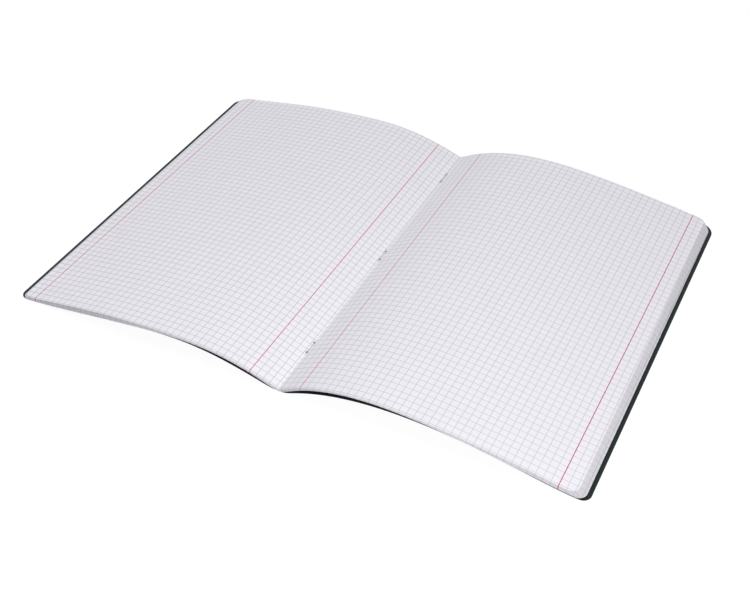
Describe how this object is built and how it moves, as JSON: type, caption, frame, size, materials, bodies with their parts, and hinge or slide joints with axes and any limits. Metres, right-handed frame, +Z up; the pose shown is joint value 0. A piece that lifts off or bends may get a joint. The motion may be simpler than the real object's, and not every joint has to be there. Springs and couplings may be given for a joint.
{
  "type": "composition notebook",
  "caption": "Large stapled exercise notebook lying open at its middle spread of squared paper, with arched pages and a plain dark green card cover that turns at the spine.",
  "frame": {"origin": "middle of the flat underside of the spine strip, on the surface that the open notebook lies on", "axes": "+X across the pages towards the right-hand one, +Y along the fold towards the top of the pages, +Z up, away from the surface it lies on"},
  "size_m": [0.4165, 0.2977, 0.0207],
  "materials": {
    "paper": "matte white writing paper",
    "cover_card": "dark green laminated card",
    "staple_wire": "bright zinc-coated wire"
  },
  "bodies": {
    "pages": {"page_block": "paper", "cover_spine": "cover_card", "staples": "staple_wire"},
    "front_cover": {"front_cover": "cover_card"},
    "back_cover": {"back_cover": "cover_card"}
  },
  "joints": [
    {"name": "front_cover_crease", "type": "hinge", "parent": "pages", "child": "front_cover", "pos_m": [-0.003, 0, 0], "axis": [0, -1, 0], "range_deg": [0, 88]},
    {"name": "back_cover_crease", "type": "hinge", "parent": "pages", "child": "back_cover", "pos_m": [0.003, 0, 0], "axis": [0, 1, 0], "range_deg": [0, 88]}
  ]
}
